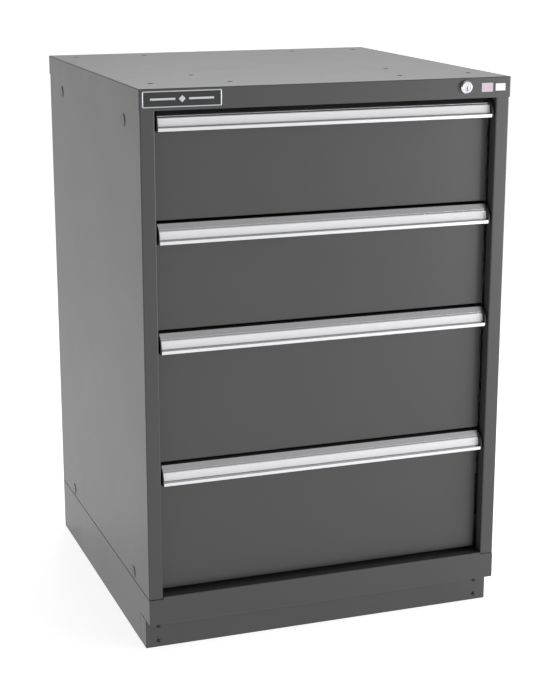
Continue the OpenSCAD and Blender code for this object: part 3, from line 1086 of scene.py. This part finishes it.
@dataclass
class Drawer(SubAssembly):
    """One drawer with its handle, slides and rollers.

    Attributes:
        number: The drawer's number, from 1 at the top.
        rivet_count: Rivets along each slide channel.
        rivet_mm: Radius of a rivet's head.
        rivet_margin_mm: From the channel's front end to the first rivet.
        wall_mm: The box's sheet.
        bore_mm: Radius of a roller's bore.
    """

    number: int = 1
    rivet_count: int = 6
    rivet_mm: float = 4.0
    rivet_margin_mm: float = 40.0
    wall_mm: float = 1.2
    bore_mm: float = 4.05

    def build(self) -> None:
        """Builds the box, front and handle, and the slide's moving parts."""
        kinds = {
            "drawer_front": Edges.FOLDED,
            "drawer_tub": Edges.FOLDED,
            "handle": Edges.EXTRUDED,
            "handle_end_caps": Edges.MOULDED,
            "label_strip": Edges.SHEARED,
            "drawer_channels": Edges.FOLDED,
            "carriage": Edges.SHEARED,
        }
        self.edges = {f"{name}_{self.number}": edges for name, edges in kinds.items()}
        self.soften_nodes()
        self.rivets()
        for name in ("front_rollers", "middle_rollers", "rear_rollers"):
            self.rollers(f"{name}_{self.number}")

    def rivets(self) -> None:
        """Rivets that hold the slide channels, seen on the inside of the box."""
        r = self.rivet_mm
        rings = [(r, 0.0, 0), (r, 0.25, 0), (0.86 * r, 0.75, 0), (0.55 * r, 1.05, 0), (0.15 * r, 1.15, 0)]
        channel_low, channel_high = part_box(f"drawer_channels_{self.number}")
        wall = -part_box(f"drawer_tub_{self.number}")[0].x - self.wall_mm * MM
        height = (channel_low.z + channel_high.z) / 2
        margin = self.rivet_margin_mm * MM
        step = (channel_high.y - channel_low.y - 3 * margin) / (self.rivet_count - 1)
        places = [
            (Vector((sign * wall, channel_low.y + margin + i * step, height)), Vector((-sign, 0, 0)))
            for sign in (-1, 1)
            for i in range(self.rivet_count)
        ]
        name = f"drawer_rivets_{self.number}"
        mesh = self.set_at(name, turned("rivet_master", rings, steps=24), places, ZINC)
        self.fit(mesh, [], f"drawer_{self.number}", ZINC)

    def rollers(self, node: str) -> None:
        """Steel rollers with a rounded tread, and a sunk web round a raised hub.

        Args:
            node: The CAD node of one axis's rollers.
        """
        mesh = frame["nodes"][node].data
        low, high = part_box(node)
        radius = (high.z - low.z) / 2
        places = sorted({round(vert.co.x / MM, 2) for vert in mesh.vertices})
        edges = [x for x in places if all(abs(x - other) > 0.01 or x == other for other in places)]
        faces = roller_faces(edges)
        self.fit(self.roller_mesh(node, faces, radius, (low + high) / 2), [node])

    def roller_mesh(
        self, node: str, starts: Sequence[tuple[float, float]], radius: float, axis: Vector
    ) -> Mesh:
        """Sets the roller at each place on its axis.

        Args:
            node: The CAD node's name.
            starts: Low and high X of each roller, in mm.
            radius: The tread's radius, in metres.
            axis: A point on the axis.

        Returns:
            The rollers as one mesh.
        """
        width = starts[0][1] - starts[0][0]
        r, bore = radius / MM, self.bore_mm
        half = [
            (bore, 0.0), (bore + 1.6, 0.0), (bore + 1.9, 0.3), (bore + 2.1, 0.9), (r - 2.4, 0.9),
            (r - 2.1, 0.2), (r - 0.9, 0.05), (r - 0.3, 0.35), (r, 1.0),
        ]
        rings = [(reach, height, 0) for reach, height in half]
        rings += [(reach, width - height, 0) for reach, height in reversed(half)]
        master = turned("roller_master", rings, closed=True, steps=48)
        places = [(Vector((low * MM, axis.y, axis.z)), Vector((1, 0, 0))) for low, _ in starts]
        return self.set_at(f"{node}_ground", master, places, ROLLER_STEEL, math.tau, seed=self.number)


def roller_faces(levels: Sequence[float], widest: float = 7.5) -> list[tuple[float, float]]:
    """Pairs the X levels of a roller node into rollers.

    Args:
        levels: Every X at which the node has a point, in mm, in order.
        widest: A roller is narrower than this, in mm.

    Returns:
        Low and high X of each roller.
    """
    pairs = []
    start = levels[0]
    for before, after in zip(levels, levels[1:]):
        if after - start > widest:
            pairs.append((start, before))
            start = after
    pairs.append((start, levels[-1]))
    return pairs


# ------------------------------------------------------------------ studio


@dataclass
class Studio:
    """Pale floor, soft lights and the camera.

    Attributes:
        eye_m: The camera's place.
        yaw_deg: Its turn to the right of +Y.
        pitch_deg: Its tilt below the horizon.
        roll_deg: Its roll.
        lens_mm: Focal length.
        sensor_mm: The picture's long side on the sensor.
        clip_m: Nearest and farthest distance that the camera sees.
        left_glow: Brightness of the surround on the left.
        right_glow: Its brightness on the right.
        side_fade: X of the direction in which the left's or right's brightness is reached.
        top_glow: Share of that brightness that is left overhead.
        top_fade: Z of the directions between which it dims to that share.
        floor_glow: Share of the floor's light that comes through it from below.
        floor_half_m: Half the floor's width, enough to reach above the camera's view.
        floor_colour: The floor's colour.
        floor_roughness: Its roughness.
    """

    eye_m: tuple[float, float, float] = (-1.0986, -3.1078, 1.3558)
    yaw_deg: float = 19.95
    pitch_deg: float = 14.91
    roll_deg: float = 0.10
    lens_mm: float = 84.73
    sensor_mm: float = 36.0
    clip_m: tuple[float, float] = (0.05, 120.0)
    left_glow: float = 0.27
    right_glow: float = 1.08
    side_fade: float = 0.8
    top_glow: float = 0.45
    top_fade: tuple[float, float] = (0.05, 0.6)
    floor_glow: float = 0.84
    floor_half_m: float = 40.0
    floor_colour: str = "#c8c8c8"
    floor_roughness: float = 0.9

    def build(self) -> None:
        """Makes the camera, world, lights and floor."""
        self.camera()
        self.world()
        self.lights()
        self.floor()

    def camera(self) -> None:
        """Makes the camera and sets it as the scene's."""
        data = bpy.data.cameras.new("camera")
        data.lens = self.lens_mm
        data.sensor_width = self.sensor_mm
        data.clip_start, data.clip_end = self.clip_m
        camera = bpy.data.objects.new("camera", data)
        bpy.context.scene.collection.objects.link(camera)
        yaw, pitch, roll = (math.radians(v) for v in (self.yaw_deg, self.pitch_deg, self.roll_deg))
        ahead = Vector((math.sin(yaw) * math.cos(pitch), math.cos(yaw) * math.cos(pitch), -math.sin(pitch)))
        level = Vector((math.cos(yaw), -math.sin(yaw), 0.0))
        up = level.cross(ahead)
        right = math.cos(roll) * level + math.sin(roll) * up
        up = right.cross(ahead)
        axes = Matrix((right, up, -ahead)).transposed().to_4x4()
        camera.matrix_world = Matrix.Translation(self.eye_m) @ axes
        bpy.context.scene.camera = camera

    def world(self) -> None:
        """Makes a white surround that is brighter on the right and round the horizon."""
        world = bpy.data.worlds.new("studio")
        world.use_nodes = True
        tree = world.node_tree
        tree.nodes.clear()
        way = add_node(tree, "ShaderNodeTexCoord").outputs["Generated"]
        axes = add_node(tree, "ShaderNodeSeparateXYZ", {"Vector": way})
        across = add_node(
            tree,
            "ShaderNodeMapRange",
            {
                "Value": axes.outputs["X"],
                "From Min": -self.side_fade,
                "From Max": self.side_fade,
                "To Min": self.left_glow,
                "To Max": self.right_glow,
            },
            interpolation_type="SMOOTHSTEP",
        )
        height = add_node(
            tree,
            "ShaderNodeMapRange",
            {
                "Value": axes.outputs["Z"],
                "From Min": self.top_fade[0],
                "From Max": self.top_fade[1],
                "To Min": 1.0,
                "To Max": self.top_glow,
            },
            interpolation_type="SMOOTHSTEP",
        )
        strength = add_node(
            tree,
            "ShaderNodeMath",
            {0: across.outputs["Result"], 1: height.outputs["Result"]},
            operation="MULTIPLY",
        )
        glow = add_node(
            tree, "ShaderNodeBackground", {"Color": (1, 1, 1, 1), "Strength": strength.outputs["Value"]}
        )
        add_node(tree, "ShaderNodeOutputWorld", {"Surface": glow.outputs["Background"]})
        bpy.context.scene.world = world
        bpy.context.scene.view_settings.view_transform = "Standard"

    def lights(self) -> None:
        """Makes two softboxes: a low key light at the front right, and one behind and above."""
        self.softbox("right_softbox", (2.4, -2.0, 0.3), aim=(0.1, -0.33, 0.3), size_m=2.0, watts=60.0)
        self.softbox("rear_softbox", (0.6, 1.5, 2.9), aim=(0.1, 0, 1.0), size_m=1.8, watts=46.0)

    def softbox(
        self, name: str, place: Sequence[float], aim: Sequence[float], size_m: float, watts: float
    ) -> None:
        """Makes a square area light.

        Args:
            name: The light's name.
            place: Where it is.
            aim: The point that it faces.
            size_m: Length of its sides.
            watts: Its power.
        """
        data = bpy.data.lights.new(name, "AREA")
        data.size = size_m
        data.energy = watts
        light = bpy.data.objects.new(name, data)
        light.location = place
        light.visible_camera = False
        light.rotation_mode = "QUATERNION"
        light.rotation_quaternion = (Vector(aim) - Vector(place)).to_track_quat("-Z", "Y")
        bpy.context.scene.collection.objects.link(light)

    def floor(self) -> None:
        """Makes the pale floor."""
        half = self.floor_half_m
        mesh = bpy.data.meshes.new("floor")
        corners = [(-half, -half, 0), (half, -half, 0), (half, half, 0), (-half, half, 0)]
        mesh.from_pydata(corners, [], [(0, 1, 2, 3)])
        floor = placed(mesh)
        white = bpy.data.materials.new("white_floor")
        white.use_nodes = True
        shader = white.node_tree.nodes["Principled BSDF"]
        shader.inputs["Base Color"].default_value = linear(self.floor_colour)
        shader.inputs["Roughness"].default_value = self.floor_roughness
        shader.inputs["Emission Color"].default_value = (1.0, 1.0, 1.0, 1.0)
        shader.inputs["Emission Strength"].default_value = self.floor_glow
        mesh.materials.append(white)


def dress_cad_nodes() -> None:
    """Gives every CAD node that still shows the finish of its slot."""
    for name, node in frame["nodes"].items():
        if not node.hide_render:
            node.data.materials.clear()
            node.data.materials.append(FINISHES[SLOTS[name]].material())
            LOG.info("%s: the CAD's own shape", name)


def main() -> None:
    """Builds the studio and every sub-assembly, and dresses what is left."""
    logging.basicConfig(level=logging.INFO, format="%(name)s: %(message)s")
    Studio().build()
    pattern = pattern_tree()
    count = sum(name.startswith("drawer_front_") for name in frame["nodes"])
    assemblies = [Housing(pattern), Base(pattern), FixedSlides(pattern), Lock(pattern)]
    assemblies += [Drawer(pattern, number=number) for number in range(1, count + 1)]
    for assembly in assemblies:
        LOG.info("building %s", type(assembly).__name__)
        assembly.build()
    dress_cad_nodes()


if __name__ == "__main__":
    main()
